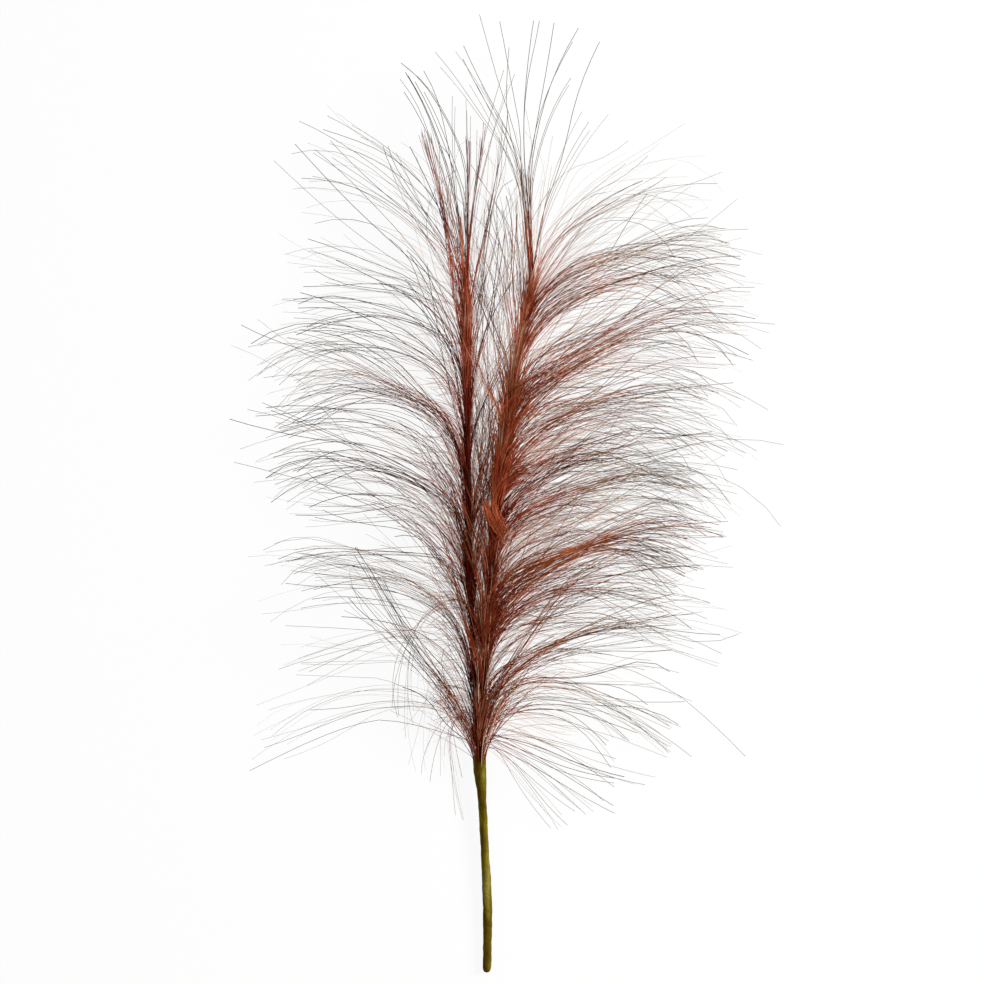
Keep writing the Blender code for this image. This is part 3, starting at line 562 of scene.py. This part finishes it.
# ------------------------------------------------------------------- place
# The tape's box sets where pick coordinates lie: its stem end is v = 0, and its lowest
# side in u is the mouth's rim.
tape_low, tape_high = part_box("stem_tape")
rim = float(stem_u(STEM_LENGTH)) - MOUTH_RADIUS
ORIGIN = np.array([tape_low.x / MM - rim, tape_low.y / MM, 0.0])


def world(points):
    return (np.asarray(points, float) + ORIGIN) * MM


# ------------------------------------------------------------------ meshes
def mesh_object(name, verts, quads, tris=(), smooth_faces=True):
    """An object from arrays of vertices in metres, quads and triangles."""
    mesh = bpy.data.meshes.new(name)
    quads = np.asarray(quads, np.int32).reshape(-1, 4)
    tris = np.asarray(tris, np.int32).reshape(-1, 3)
    mesh.vertices.add(len(verts))
    mesh.vertices.foreach_set("co", np.asarray(verts, np.float32).ravel())
    mesh.loops.add(quads.size + tris.size)
    mesh.loops.foreach_set("vertex_index", np.concatenate([quads.ravel(), tris.ravel()]))
    mesh.polygons.add(len(quads) + len(tris))
    starts = np.concatenate([np.arange(len(quads)) * 4, quads.size + np.arange(len(tris)) * 3])
    mesh.polygons.foreach_set("loop_start", starts.astype(np.int32))
    mesh.update(calc_edges=True)
    mesh.validate()
    if smooth_faces:
        mesh.shade_smooth()
    ob = bpy.data.objects.new(name, mesh)
    bpy.context.scene.collection.objects.link(ob)
    return ob


def frames(P):
    """Two directions across each path of (n, m, 3), turning with it without twist."""
    d = np.gradient(P, axis=1)
    d /= np.maximum(np.linalg.norm(d, axis=2, keepdims=True), 1e-9)
    a = np.empty_like(d)
    first = np.cross(d[:, 0], np.array([0.31, 0.17, 0.93]))
    a[:, 0] = first / np.linalg.norm(first, axis=1, keepdims=True)
    for k in range(1, P.shape[1]):
        w = a[:, k - 1] - d[:, k] * (a[:, k - 1] * d[:, k]).sum(1, keepdims=True)
        a[:, k] = w / np.maximum(np.linalg.norm(w, axis=1, keepdims=True), 1e-9)
    return a, np.cross(d, a)


def tubes(P, radii, sides=4):
    """Closed tubes: vertices and faces of n tubes along the paths P (n, m, 3), cut square at both
    ends.  Also each vertex's tube and place along it, and its place on the UV map."""
    n, m = P.shape[:2]
    a, b = frames(P)
    turn = 2 * np.pi * (np.arange(sides) + 0.5) / sides
    ring = (a[:, :, None] * np.cos(turn)[None, None, :, None]
            + b[:, :, None] * np.sin(turn)[None, None, :, None])
    V = P[:, :, None] + ring * radii[:, :, None, None]
    per = m * sides
    base = (np.arange(n) * per)[:, None, None]
    i, j = np.meshgrid(np.arange(m - 1), np.arange(sides), indexing="ij")
    i, j = i.ravel(), j.ravel()
    j2 = (j + 1) % sides
    wall = np.stack([i * sides + j, i * sides + j2, (i + 1) * sides + j2, (i + 1) * sides + j], 1)
    last = (m - 1) * sides
    if sides == 4:
        wall = np.concatenate([wall, [[0, 3, 2, 1]], [[last, last + 1, last + 2, last + 3]]])
        tris = np.zeros((0, 3), int)
    else:
        k = np.arange(2, sides)
        fans = np.concatenate([np.stack([0 * k, k, k - 1], 1), last + np.stack([0 * k, k - 1, k], 1)])
        tris = (base + fans[None]).reshape(-1, 3)
    quads = (base + wall[None]).reshape(-1, 4)
    tube = np.repeat(np.arange(n), per)
    place = np.tile(np.repeat(np.arange(m) / (m - 1), sides), n)
    # each tube is a strip of the map, all its sides laid over one another
    u = np.where(np.arange(per) % 2 == 0, 0.12, 0.88)
    uv = np.stack([(tube + np.tile(u, n)) / n, 0.01 + 0.98 * place], 1)
    return V.reshape(-1, 3), quads, tris, tube, place, uv


def give(mesh, name, values, kind="FLOAT"):
    mesh.attributes.new(name, kind, "POINT").data.foreach_set(
        "vector" if kind == "FLOAT_VECTOR" else "value", np.asarray(values, np.float32).ravel())


def give_map(mesh, uv):
    layer = mesh.uv_layers.new(name="OFBake", do_init=False)
    corner = np.empty(len(mesh.loops), np.int32)
    mesh.loops.foreach_get("vertex_index", corner)
    layer.uv.foreach_set("vector", uv[corner].astype(np.float32).ravel())


# --------------------------------------------------------------- materials
class Nodes:
    """A material's node tree, built by short calls."""

    def __init__(self, name):
        self.mat = bpy.data.materials.new(name)
        self.mat.use_nodes = True
        self.tree = self.mat.node_tree
        self.bsdf = self.tree.nodes["Principled BSDF"]

    def add(self, kind, **values):
        node = self.tree.nodes.new("ShaderNode" + kind)
        for key, value in values.items():
            setattr(node, key, value)
        return node

    def link(self, a, b):
        self.tree.links.new(a, b)

    def attribute(self, name):
        return self.add("Attribute", attribute_name=name).outputs["Fac"]

    def math(self, operation, a, b=None, clamp=False):
        node = self.add("Math", operation=operation, use_clamp=clamp)
        for socket, value in zip(node.inputs, (a, b)):
            if isinstance(value, (int, float)):
                socket.default_value = value
            elif value is not None:
                self.link(value, socket)
        return node.outputs[0]

    def ramp(self, factor, stops):
        node = self.add("ValToRGB")
        elements = node.color_ramp.elements
        elements[0].position, elements[0].color = stops[0][0], (*stops[0][1], 1)
        elements[1].position, elements[1].color = stops[-1][0], (*stops[-1][1], 1)
        for position, colour in stops[1:-1]:
            elements.new(position).color = (*colour, 1)
        self.link(factor, node.inputs[0])
        return node.outputs["Color"]

    def mix(self, factor, a, b, blend="MIX"):
        node = self.add("Mix", data_type="RGBA", blend_type=blend)
        for socket, value in ((node.inputs[0], factor), (node.inputs[6], a), (node.inputs[7], b)):
            if isinstance(value, (int, float)):
                socket.default_value = value
            elif isinstance(value, tuple):
                socket.default_value = (*value, 1)
            else:
                self.link(value, socket)
        return node.outputs[2]

    def noise(self, scale, detail=2.0, vector=None, **more):
        node = self.add("TexNoise")
        node.inputs["Scale"].default_value = scale
        node.inputs["Detail"].default_value = detail
        for key, value in more.items():
            node.inputs[key].default_value = value
        if vector is not None:
            self.link(vector, node.inputs["Vector"])
        return node.outputs["Fac"]

    def spread(self, value, low, high, to_low, to_high):
        node = self.add("MapRange")
        for key, v in (("From Min", low), ("From Max", high), ("To Min", to_low), ("To Max", to_high)):
            node.inputs[key].default_value = v
        self.link(value, node.inputs["Value"])
        return node.outputs["Result"]

    def set(self, **values):
        for key, value in values.items():
            self.bsdf.inputs[key.replace("_", " ")].default_value = value

    def bump(self, height, strength, distance, normal=None):
        node = self.add("Bump")
        node.inputs["Strength"].default_value = strength
        node.inputs["Distance"].default_value = distance
        self.link(height, node.inputs["Height"])
        if normal is not None:
            self.link(normal, node.inputs["Normal"])
        return node.outputs["Normal"]


def filament_material(name, dark, rust, bright, pale):
    """Dyed filament.  "strand" picks each one's shade, "cool" says how far the dye has run out
    and "depth" how dark it lies against the spike; "amber" is the orange of the brightest locks.
    Its palest shade, pale, is a painted highlight: cream for the shine along the strands."""
    m = Nodes(name)
    strand, cool, depth = m.attribute("strand"), m.attribute("cool"), m.attribute("depth")
    co = m.add("TexCoord").outputs["Object"]
    patch = m.spread(m.noise(42.0, 2.0, co), 0.3, 0.7, -0.12, 0.12)
    shade = m.math("ADD", strand, patch, clamp=True)
    # the last stop is a painted highlight: pale cream strands stand for the shine along the filaments
    dyed = m.ramp(shade, [(0.14, dark), (0.42, rust), (0.70, bright), (0.92, pale)])
    grey = m.ramp(shade, [(0.15, (0.022, 0.016, 0.007)), (0.5, (0.080, 0.058, 0.024)), (0.85, (0.33, 0.255, 0.135))])
    run = m.math("ADD", cool, m.spread(m.noise(65.0, 2.0, co), 0.3, 0.7, -0.12, 0.12), clamp=True)
    colour = m.mix(run, dyed, grey)
    fleck = m.spread(m.noise(900.0, 1.0, co), 0.3, 0.7, 0.82, 1.14)
    colour = m.mix(1.0, colour, fleck, "MULTIPLY")
    deep = m.mix(0.82, colour, (0.042, 0.0023, 0.0010))
    colour = m.mix(depth, colour, deep)
    colour = m.mix(m.math("MULTIPLY", m.attribute("amber"), 0.40), colour, (0.46, 0.150, 0.034))
    m.link(colour, m.bsdf.inputs["Base Color"])
    m.link(m.spread(m.noise(420.0, 2.0, co), 0.3, 0.7, 0.34, 0.52), m.bsdf.inputs["Roughness"])
    m.set(Specular_IOR_Level=0.03)
    return m.mat


# each one's last colour is the pale cream of the painted highlights
LEFT_FILAMENT = filament_material("left_filament", (0.032, 0.0019, 0.0010), (0.262, 0.022, 0.0095),
                                  (0.530, 0.102, 0.046), (0.920, 0.660, 0.500))
RIGHT_FILAMENT = filament_material("right_filament", (0.080, 0.0070, 0.0025), (0.400, 0.046, 0.0160),
                                   (0.600, 0.146, 0.053), (0.910, 0.665, 0.485))


# ------------------------------------------------------------------- tufts
LEFT_DARK = [(139, 0.80), (356, 0.80), (388, 0.1), (456, 0.0)]
RIGHT_DARK = [(139, 0.75), (156, 0.6), (162, 0.2), (176, 0.2), (184, 0.8), (210, 0.8), (216, 0.35),
              (234, 0.35), (240, 0.75), (268, 0.75), (276, 0.12), (355, 0.10), (375, 0.05), (456, 0.0)]


def build_tufts():
    rng = np.random.default_rng(411)
    for tuft, parts in grow().items():
        P, size, warm, strand = (np.concatenate([part[i] for part in parts]) for i in range(4))
        n = len(P)
        t = np.linspace(0, 1, SEGMENTS + 1)
        radii = size[:, None] * (1 - 0.20 * t)[None]
        V, quads, tris, tube, place, uv = tubes(P, radii)
        ob = mesh_object(tuft + "_filaments", world(V), quads, tris)
        left = tuft.startswith("left")
        # darker close to the spike low down, and paler away from it as the dye runs out
        axis = spike(LEFT if left else RIGHT, P[..., 1])
        off = np.hypot(P[..., 0] - axis[..., 0], P[..., 2] - axis[..., 2])
        step = np.linalg.norm(np.diff(P, axis=1), axis=2).cumsum(1)
        far = np.concatenate([np.zeros((n, 1)), step], 1)
        depth = at(P[..., 1], LEFT_DARK if left else RIGHT_DARK) * (1 - smooth((off - 1.8) / (5.5 if left else 7.0)))
        root = 0.45 * (1 - smooth((P[:, :1, 1] - (325.0 if left else 245.0)) / 40.0)) * (1 - smooth((far - 12.0) / 30.0))
        # the palest strands, which are painted highlights, are not darkened
        depth = np.maximum(depth, root) * (1 - 0.9 * smooth((strand[:, None] - 0.68) / 0.16))
        warmth = (warm + rng.normal(0, 0.12, n))[:, None]
        cool = np.maximum(1 - warmth, -0.30 if left else 0.06) * smooth((far - 8.0) / (55.0 if left else 70.0)) + 0.70 * t[None] ** 1.5 * smooth(far / 55.0)
        ring = np.repeat(np.arange(n * len(t)), 4)
        give(ob.data, "strand", strand[tube])
        give(ob.data, "along", place)
        give(ob.data, "cool", np.clip(cool, 0, 1).ravel()[ring])
        give(ob.data, "depth", depth.ravel()[ring])
        amber = np.clip(warmth * 4 - 5.4, 0.0 if left else 0.15, 1) * smooth((far - 16.0) / 36.0) * (1 - smooth((far - 125.0) / 40.0))
        give(ob.data, "amber", amber.ravel()[ring])
        give_map(ob.data, uv)
        ob.data.materials.append(LEFT_FILAMENT if left else RIGHT_FILAMENT)
        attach(ob, "root")
        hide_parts(tuft)


build_tufts()


# ---------------------------------------------------------------- windings
def winding_material(name, low, high):
    m = Nodes(name)
    co = m.add("TexCoord").outputs["Object"]
    along = m.attribute("along")
    ply = m.math("SINE", m.math("MULTIPLY", m.attribute("ply"), 2 * math.pi))
    fuzz = m.noise(1500.0, 3.0, co)
    base = m.mix(m.spread(along, 0.45, 0.80, 0.0, 1.0), low, high)
    base = m.mix(m.spread(along, 0.86, 0.93, 0.0, 1.0), base, (0.20, 0.085, 0.045))
    tone = m.math("ADD", m.math("MULTIPLY", fuzz, 0.7), m.math("MULTIPLY", ply, 0.12))
    colour = m.mix(1.0, base, m.spread(tone, 0.1, 0.7, 0.55, 1.35), "MULTIPLY")
    m.link(colour, m.bsdf.inputs["Base Color"])
    m.link(m.spread(fuzz, 0.3, 0.7, 0.45, 0.65), m.bsdf.inputs["Roughness"])
    height = m.math("ADD", m.math("MULTIPLY", ply, 0.5), fuzz)
    m.link(m.bump(height, 0.6, 0.00008), m.bsdf.inputs["Normal"])
    m.set(Specular_IOR_Level=0.06)
    return m.mat


BIND_START, BIND_END = 133.0, 457.0
LEFT_BIND = [(133, 1.30), (142, 1.60), (170, 1.40), (240, 1.15), (300, 1.45), (345, 1.75), (366, 2.3), (385, 2.5), (405, 2.0), (425, 1.4), (440, 0.9), (457, 0.6)]
RIGHT_BIND = [(133, 1.30), (142, 1.75), (170, 1.95), (240, 1.90), (300, 2.3), (390, 2.3), (420, 1.7), (434, 0.8), (457, 0.5)]


def winding(which, radii, material, slot):
    """Thread wound round a spike over a core of filament ends, one closed tube for each."""
    node = which + "_spike_binding"
    thread, pitch, around = 0.30, 0.56, 12
    length = BIND_END - BIND_START - 1.0
    turns = length / pitch
    k = np.arange(int(turns * around) + 1)
    v = BIND_START + 0.5 + length * k / k[-1]
    angle = 2 * np.pi * k / around
    lumps = 0.05 * np.sin(v * 0.41) + 0.05 * np.sin(v * 0.173 + 1.0)
    r = at(v, radii) - thread * 0.5 + lumps
    T = tangent(which, v)
    side = np.cross(T, np.array([0.0, 0.0, 1.0]))
    side /= np.linalg.norm(side, axis=1, keepdims=True)
    up = np.cross(side, T)
    P = spike(which, v) + side * (r * np.cos(angle))[:, None] + up * (r * np.sin(angle))[:, None]
    V, quads, tris, tube, place, uv = tubes(P[None], np.full((1, len(P)), thread), 5)
    ply = (place * turns * 9.0)
    uv = np.stack([0.02 + 0.96 * ((np.arange(len(V)) % 5) / 4.0), 0.01 + 0.98 * place], 1)
    # the core under the thread
    sides, rows = 16, 90
    cv = np.linspace(BIND_START + 0.1, BIND_END - 0.1, rows)
    cr = at(cv, radii) - thread * 0.6
    ct = tangent(which, cv)
    cs = np.cross(ct, np.array([0.0, 0.0, 1.0]))
    cs /= np.linalg.norm(cs, axis=1, keepdims=True)
    cu = np.cross(cs, ct)
    ca = 2 * np.pi * np.arange(sides) / sides
    C = (spike(which, cv)[:, None] + cs[:, None] * (cr[:, None] * np.cos(ca))[..., None]
         + cu[:, None] * (cr[:, None] * np.sin(ca))[..., None]).reshape(-1, 3)
    i, j = np.meshgrid(np.arange(rows - 1), np.arange(sides), indexing="ij")
    i, j = i.ravel(), j.ravel()
    body = np.stack([i * sides + j, (i + 1) * sides + j, (i + 1) * sides + (j + 1) % sides, i * sides + (j + 1) % sides], 1)
    ends = spike(which, cv[[0, -1]])
    C = np.concatenate([C, ends])
    js = np.arange(sides)
    first = np.stack([js, (js + 1) % sides, np.full(sides, rows * sides)], 1)
    final = np.stack([(rows - 1) * sides + (js + 1) % sides, (rows - 1) * sides + js, np.full(sides, rows * sides + 1)], 1)
    off = len(V)
    V = np.concatenate([V, C])
    quads = np.concatenate([quads, body + off])
    tris = np.concatenate([tris, first + off, final + off])
    place = np.concatenate([place, np.repeat((cv - BIND_START) / (BIND_END - BIND_START), sides), [0.0, 1.0]])
    ply = np.concatenate([ply, np.zeros(len(C))])
    ob = mesh_object(which + "_spike_winding", world(V), quads, tris)
    give(ob.data, "along", place)
    give(ob.data, "ply", ply)
    ob.data.materials.append(material)
    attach(ob, "root")
    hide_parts(node)


winding(LEFT, LEFT_BIND, winding_material("left_winding", (0.026, 0.002, 0.001), (0.38, 0.030, 0.012)), "dark_winding")
winding(RIGHT, RIGHT_BIND, winding_material("right_winding", (0.045, 0.0035, 0.0015), (0.32, 0.026, 0.007)), "rust_winding")


# ------------------------------------------------------------------- stem
STEM_PROFILE = [(0.0, 0.25), (0.25, 1.15), (0.8, 1.85), (1.6, 2.30), (3.0, 2.60), (30.0, 2.65),
                (60.0, 2.60), (72.0, STEM_WAIST), (110.0, STEM_WAIST), (117.0, 2.80),
                (123.0, 3.45), (130.0, 3.95), (139.0, 4.05)]


def stem_tape():
    sides, step = 56, 0.28
    v = np.concatenate([np.linspace(0, 3, 16)[:-1], np.arange(3.0, STEM_LENGTH, step), [STEM_LENGTH]])
    a = 2 * np.pi * np.arange(sides) / sides
    V2, A2 = np.meshgrid(v, a, indexing="ij")
    r = np.interp(V2, [k[0] for k in STEM_PROFILE], [k[1] for k in STEM_PROFILE])
    grown = smooth((V2 - 1.0) / 4.0)
    # overlapping turns of tape: each turn's edge stands a little proud of the one below
    turn = V2 / 9.5 - A2 / (2 * np.pi) + 0.06 * np.sin(V2 * 0.21) + 0.03 * np.sin(2 * A2 + V2 * 0.3)
    f = turn - np.floor(turn)
    edge = np.where(f < 0.06, f / 0.06, 1.0 - 0.55 * (f - 0.06) / 0.94)
    r = r + grown * (0.14 * edge - 0.07)
    # two wires under the tape, and hand-wound lumps
    r = r + grown * (0.10 * np.cos(2 * A2 + 0.05 * V2) + 0.07 * np.sin(V2 * 0.33 + A2) + 0.05 * np.sin(V2 * 0.83 - 2 * A2 + 1.0))
    # a thicker place on the right, where one piece of tape ends over the next
    r = r + 0.35 * smooth((V2 - 20.0) / 10.0) * (1 - smooth((V2 - 64.0) / 14.0)) * np.maximum(np.cos(A2 - 0.3), 0.0) ** 2
    # crepe: fine pleats along the tape
    r = r + grown * 0.035 * np.sin(34 * A2 + 0.9 * np.sin(V2 * 0.7) + 3.0 * np.sin(V2 * 0.09))
    r = r + 0.22 * smooth((V2 - 20.0) / 30.0) * (1 - smooth((V2 - 100.0) / 30.0))
    centre = np.stack([stem_u(v) + 0.4 * smooth(v / 12.0) * (1 - smooth((v - 110.0) / 25.0)), v, rise(v)], -1)
    T = np.gradient(centre, axis=0)
    T /= np.linalg.norm(T, axis=1, keepdims=True)
    side = np.cross(T, np.array([0.0, 0.0, 1.0]))
    side /= np.linalg.norm(side, axis=1, keepdims=True)
    up = np.cross(side, T)
    P = centre[:, None] + side[:, None] * (r * np.cos(A2))[..., None] + up[:, None] * (r * np.sin(A2))[..., None]
    # the wall turns in at the mouth and closes round the ties
    lip = [(STEM_LENGTH + 0.25, -0.10), (STEM_LENGTH + 0.30, -0.30), (STEM_LENGTH - 0.1, -0.55), (STEM_LENGTH - 6.0, -1.0), (STEM_LENGTH - 14.0, -1.9)]
    rings = [P]
    for lv, inset in lip:
        c = np.array([float(stem_u(lv)), lv, float(rise(lv))])
        base = np.interp(min(lv, STEM_LENGTH), [k[0] for k in STEM_PROFILE], [k[1] for k in STEM_PROFILE])
        rr = np.maximum(base + inset + 0.06 * np.sin(3 * a), 0.4)
        rings.append((c + side[-1] * (rr * np.cos(a))[:, None] + up[-1] * (rr * np.sin(a))[:, None])[None])
    P = np.concatenate(rings)
    P[..., 2] = np.maximum(P[..., 2], 0.02)
    rows = len(P)
    i, j = np.meshgrid(np.arange(rows - 1), np.arange(sides), indexing="ij")
    i, j = i.ravel(), j.ravel()
    quads = np.stack([i * sides + j, (i + 1) * sides + j, (i + 1) * sides + (j + 1) % sides, i * sides + (j + 1) % sides], 1)
    verts = np.concatenate([P.reshape(-1, 3), P[0].mean(0)[None], P[-1].mean(0)[None]])
    js = np.arange(sides)
    tris = np.concatenate([np.stack([js, (js + 1) % sides, np.full(sides, rows * sides)], 1),
                           np.stack([(rows - 1) * sides + (js + 1) % sides, (rows - 1) * sides + js, np.full(sides, rows * sides + 1)], 1)])
    ob = mesh_object("stem_tape_wrap", world(verts), quads, tris)
    extra = np.full(len(lip) * sides, 0.5)
    give(ob.data, "overlap", np.concatenate([f.ravel(), extra, [0.5, 0.5]]))
    pleat = np.concatenate([(A2 / (2 * np.pi)).ravel(), np.tile(a / (2 * np.pi), len(lip)), [0, 0]])
    give(ob.data, "pleat", pleat)
    ob.data.materials.append(tape_material())
    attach(ob, "root")
    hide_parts("stem_tape")


def tape_material():
    m = Nodes("crepe_tape")
    co = m.add("TexCoord").outputs["Object"]
    stretch = m.add("Mapping")
    stretch.inputs["Scale"].default_value = (1.0, 0.22, 1.0)
    m.link(co, stretch.inputs["Vector"])
    crepe = m.noise(2600.0, 3.0, stretch.outputs["Vector"])
    patch = m.noise(190.0, 3.0, stretch.outputs["Vector"])
    # darkest towards the mouth, where it closes round the ties, and a little darker towards its end than in the middle
    along = m.add("SeparateXYZ")
    m.link(co, along.inputs[0])
    patch = m.math("ADD", patch, m.spread(along.outputs["Y"], -0.196, -0.170, 0.0, -0.15))
    patch = m.math("ADD", patch, m.spread(along.outputs["Y"], -0.262, -0.240, -0.04, 0.03))
    overlap = m.attribute("overlap")
    colour = m.ramp(patch, [(0.32, (0.062, 0.027, 0.002)), (0.43, (0.084, 0.055, 0.002)), (0.55, (0.128, 0.098, 0.004)), (0.70, (0.215, 0.172, 0.030))])
    colour = m.mix(1.0, colour, m.spread(crepe, 0.3, 0.7, 0.72, 1.22), "MULTIPLY")
    seam = m.math("MULTIPLY", m.spread(overlap, 0.0, 0.10, 1.0, 0.0), 0.4)
    colour = m.mix(seam, colour, (0.020, 0.011, 0.001))
    m.link(colour, m.bsdf.inputs["Base Color"])
    m.link(m.spread(crepe, 0.3, 0.7, 0.62, 0.85), m.bsdf.inputs["Roughness"])
    m.link(m.bump(crepe, 0.7, 0.00022), m.bsdf.inputs["Normal"])
    m.set(Specular_IOR_Level=0.03)
    return m.mat


stem_tape()


# ------------------------------------------------------------------- wires
def wire_material():
    m = Nodes("drawn_wire")
    co = m.add("TexCoord").outputs["Object"]
    stretch = m.add("Mapping")
    stretch.inputs["Scale"].default_value = (1.0, 0.05, 1.0)
    m.link(co, stretch.inputs["Vector"])
    draw = m.noise(3000.0, 3.0, stretch.outputs["Vector"])
    m.link(m.ramp(draw, [(0.3, (0.16, 0.15, 0.14)), (0.7, (0.42, 0.40, 0.38))]), m.bsdf.inputs["Base Color"])
    m.link(m.spread(draw, 0.3, 0.7, 0.30, 0.48), m.bsdf.inputs["Roughness"])
    m.set(Metallic=1.0)
    m.link(m.bump(draw, 0.3, 0.00004), m.bsdf.inputs["Normal"])
    return m.mat


WIRE = wire_material()
for node in ("left_spike_wire", "right_spike_wire"):
    data = frame["nodes"][node].data
    if data.materials:
        data.materials[0] = WIRE
    else:
        data.materials.append(WIRE)


# ------------------------------------------------------------ floor, light
def studio():
    scene = bpy.context.scene
    ob = mesh_object("floor", np.array([(-4, -4, 0), (4, -4, 0), (4, 4, 0), (-4, 4, 0)], float) - np.array([0, 0, 0.0002]), [(0, 1, 2, 3)], smooth_faces=False)
    m = Nodes("pale_floor")
    m.set(Base_Color=(0.07, 0.07, 0.07, 1), Roughness=0.9, Specular_IOR_Level=0.0,
          Emission_Color=(1, 1, 1, 1), Emission_Strength=0.917)
    ob.data.materials.append(m.mat)
    ob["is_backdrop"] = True
    world_ = bpy.data.worlds.new("studio")
    scene.world = world_
    world_.use_nodes = True
    back = world_.node_tree.nodes["Background"]
    back.inputs["Color"].default_value = (1, 1, 1, 1)
    back.inputs["Strength"].default_value = 0.32

    def area(name, place, size, watts, aim=(-0.01, 0.0, 0.02)):
        light = bpy.data.lights.new(name, "AREA")
        light.shape = "SQUARE"
        light.size = size
        light.energy = watts
        ob = bpy.data.objects.new(name, light)
        ob.location = place
        ob.rotation_mode = "QUATERNION"
        ob.rotation_quaternion = (Vector(aim) - Vector(place)).to_track_quat("-Z", "Y")
        scene.collection.objects.link(ob)
        ob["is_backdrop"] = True

    area("key", (1.65, 0.35, 1.05), 0.8, 62.0)
    area("fill", (-1.2, -0.4, 1.6), 1.4, 5.0)
    scene.view_settings.view_transform = "Standard"
    scene.view_settings.look = "None"
    scene.view_settings.exposure = 0.0
    scene.view_settings.gamma = 1.0


studio()


# ------------------------------------------------------------------ camera
def camera():
    """Straight down on the pick, its tips to the top of the frame."""
    low, high = CAD_LOW, CAD_HIGH
    data = bpy.data.cameras.new("camera")
    data.lens, data.sensor_width = 85.0, 36.0
    data.clip_start, data.clip_end = 0.05, 20.0
    ob = bpy.data.objects.new("camera", data)
    width = (high.y - low.y) * 1.0345           # the frame's width at the surface
    distance = width / data.sensor_width * data.lens
    ob.location = ((low.x + high.x) / 2 - 0.011, (low.y + high.y) / 2 + 0.0026, distance)
    ob.rotation_euler = (0.0, 0.0, 0.0)
    bpy.context.scene.collection.objects.link(ob)
    bpy.context.scene.camera = ob


camera()

bpy.context.view_layer.update()
low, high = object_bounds()
